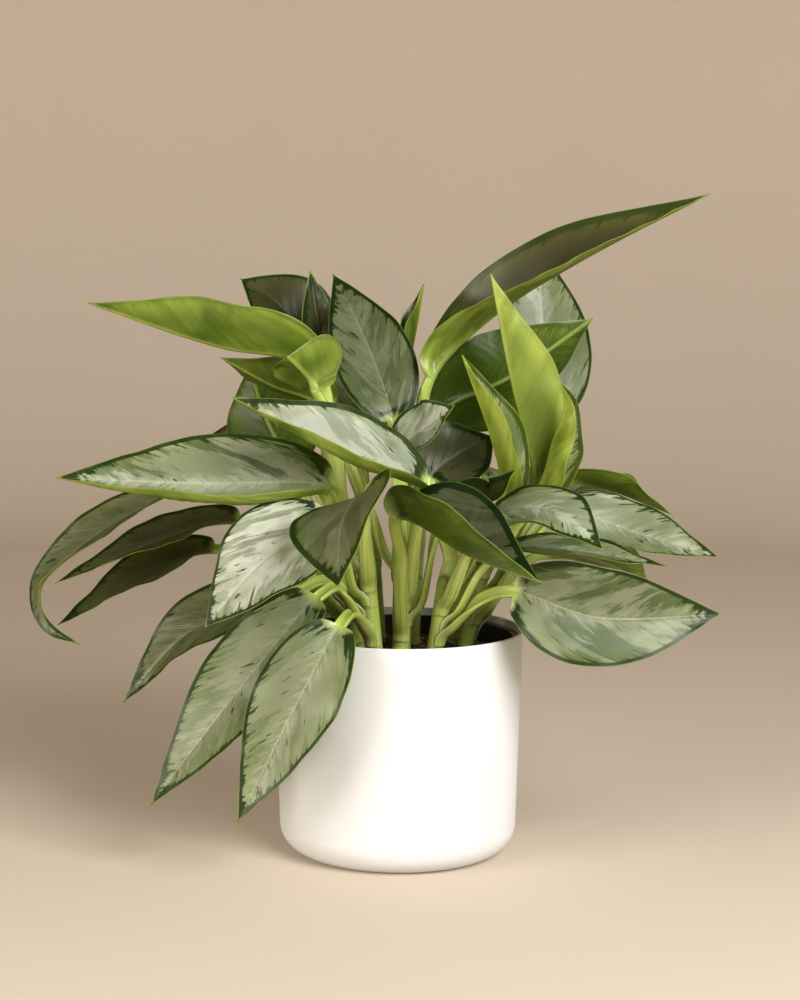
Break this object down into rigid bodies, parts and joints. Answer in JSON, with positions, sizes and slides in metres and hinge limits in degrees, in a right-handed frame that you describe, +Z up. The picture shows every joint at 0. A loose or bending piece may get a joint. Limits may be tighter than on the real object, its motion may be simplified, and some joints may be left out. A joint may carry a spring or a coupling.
{
  "type": "potted chinese evergreen",
  "caption": "Leafy aglaonema house plant: broad pointed silver-green leaves on sheathed stalks and short canes, in soil, a black nursery pot and a round white cover pot.",
  "frame": {"origin": "centre of the cover pot's flat underside", "axes": "+Z up, +X to the right and +Y to the back as the picture's camera sees the plant"},
  "size_m": [0.692, 0.5285, 0.6616],
  "materials": {
    "cover_pot": "matt off-white",
    "nursery_pot": "satin black",
    "soil": "crumbly dark peat",
    "cane": "smooth green stem with pale leaf scars",
    "leaf": "satin leaf, silver-green above with dark green margins, yellow-green below"
  },
  "bodies": {
    "root": {"cane_1": "cane", "cane_2": "cane", "cane_3": "cane", "cane_4": "cane", "cane_5": "cane", "cane_6": "cane", "cane_7": "cane", "cane_8": "cane", "cover_pot": "cover_pot", "leaf_1_1": "leaf", "leaf_1_2": "leaf", "leaf_1_3": "leaf", "leaf_1_4": "leaf", "leaf_1_5": "leaf", "leaf_1_6": "leaf", "leaf_2_1": "leaf", "leaf_2_2": "leaf", "leaf_2_3": "leaf", "leaf_2_4": "leaf", "leaf_2_5": "leaf", "leaf_2_6": "leaf", "leaf_3_1": "leaf", "leaf_3_2": "leaf", "leaf_3_3": "leaf", "leaf_3_4": "leaf", "leaf_3_5": "leaf", "leaf_3_6": "leaf", "leaf_4_1": "leaf", "leaf_4_2": "leaf", "leaf_4_3": "leaf", "leaf_4_4": "leaf", "leaf_4_5": "leaf", "leaf_5_1": "leaf", "leaf_5_2": "leaf", "leaf_5_3": "leaf", "leaf_5_4": "leaf", "leaf_5_5": "leaf", "leaf_5_6": "leaf", "leaf_6_1": "leaf", "leaf_6_2": "leaf", "leaf_6_3": "leaf", "leaf_7_1": "leaf", "leaf_7_2": "leaf", "leaf_7_3": "leaf", "leaf_7_4": "leaf", "leaf_7_5": "leaf", "leaf_8_1": "leaf", "leaf_8_2": "leaf", "leaf_8_3": "leaf", "leaf_8_4": "leaf", "leaf_8_5": "leaf", "nursery_pot": "nursery_pot", "soil": "soil"}
  },
  "joints": []
}
